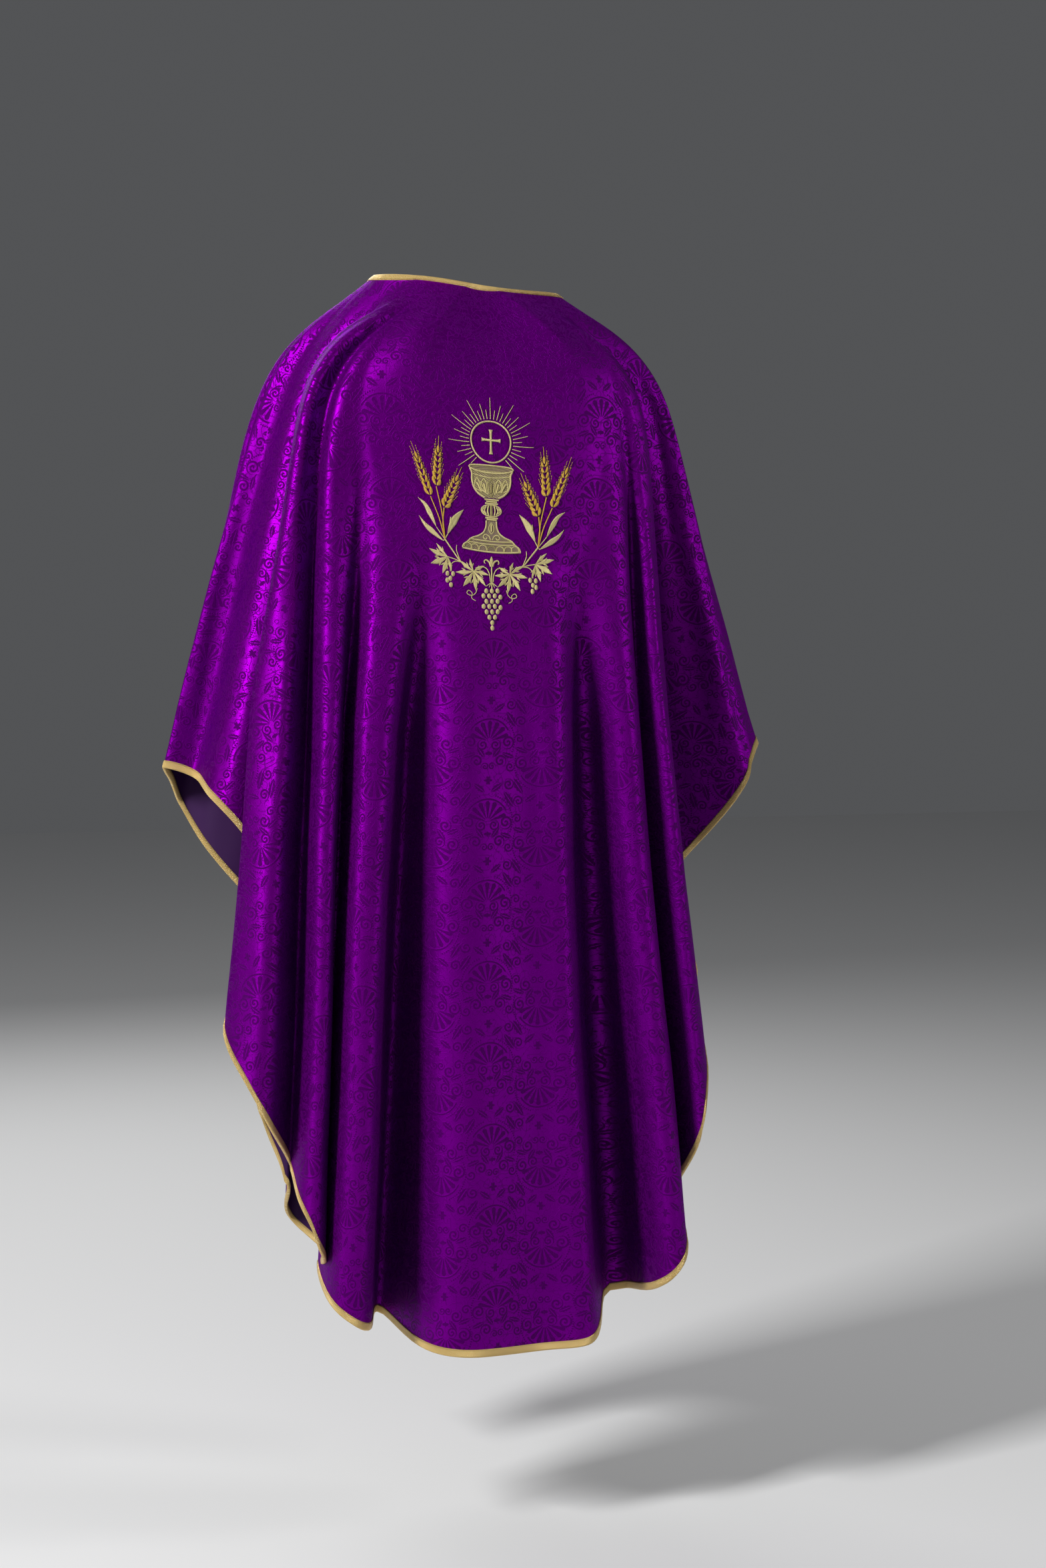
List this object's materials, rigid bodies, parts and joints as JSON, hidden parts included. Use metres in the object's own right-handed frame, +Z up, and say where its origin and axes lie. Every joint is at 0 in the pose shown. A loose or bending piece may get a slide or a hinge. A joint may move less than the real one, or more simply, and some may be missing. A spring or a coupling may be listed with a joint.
{
  "type": "chasuble",
  "caption": "Full-cut gothic church vestment in purple damask, worn over the shoulders, with gold edge binding and a gold chalice, wheat and vine embroidered on the back.",
  "frame": {"origin": "between the wearer's shoulders, in the middle of the neck opening, at the height of the neckline's sides", "axes": "+Z up, +Y out of the back of the garment, +X to the wearer's left"},
  "size_m": [0.7515, 0.3818, 1.3118],
  "materials": {
    "damask": "satin-ground damask, woven figure tone on tone",
    "lining": "plain matt lining cloth",
    "gold_binding": "woven metallic gold band, folded over the edge",
    "gold_thread": "pale gold embroidery thread, satin stitch",
    "wheat_thread": "deep yellow-gold embroidery thread, satin stitch",
    "backing": "soft non-woven sheet"
  },
  "bodies": {
    "root": {"back_lining": "lining", "back_panel": "damask", "chalice_cup": "gold_thread", "chalice_foot": "gold_thread", "chalice_knop": "gold_thread", "embroidery_backing": "backing", "front_lining": "lining", "front_panel": "damask", "grape_bunch_centre": "gold_thread", "grape_bunch_left": "gold_thread", "grape_bunch_right": "gold_thread", "hem_binding": "gold_binding", "host_cross": "gold_thread", "host_rays": "gold_thread", "host_ring": "gold_thread", "neck_binding": "gold_binding", "shoulder_seam_left": "damask", "shoulder_seam_right": "damask", "vine_fleur": "gold_thread", "vine_leaf_left_inner": "gold_thread", "vine_leaf_left_outer": "gold_thread", "vine_leaf_right_inner": "gold_thread", "vine_leaf_right_outer": "gold_thread", "vine_stem": "gold_thread", "vine_tendril_left": "gold_thread", "vine_tendril_right": "gold_thread", "wheat_ear_left_inner": "wheat_thread", "wheat_ear_left_middle": "wheat_thread", "wheat_ear_left_outer": "wheat_thread", "wheat_ear_right_inner": "wheat_thread", "wheat_ear_right_middle": "wheat_thread", "wheat_ear_right_outer": "wheat_thread", "wheat_leaf_left_inner": "gold_thread", "wheat_leaf_left_lower": "gold_thread", "wheat_leaf_left_outer": "gold_thread", "wheat_leaf_right_inner": "gold_thread", "wheat_leaf_right_lower": "gold_thread", "wheat_leaf_right_outer": "gold_thread"}
  },
  "joints": []
}
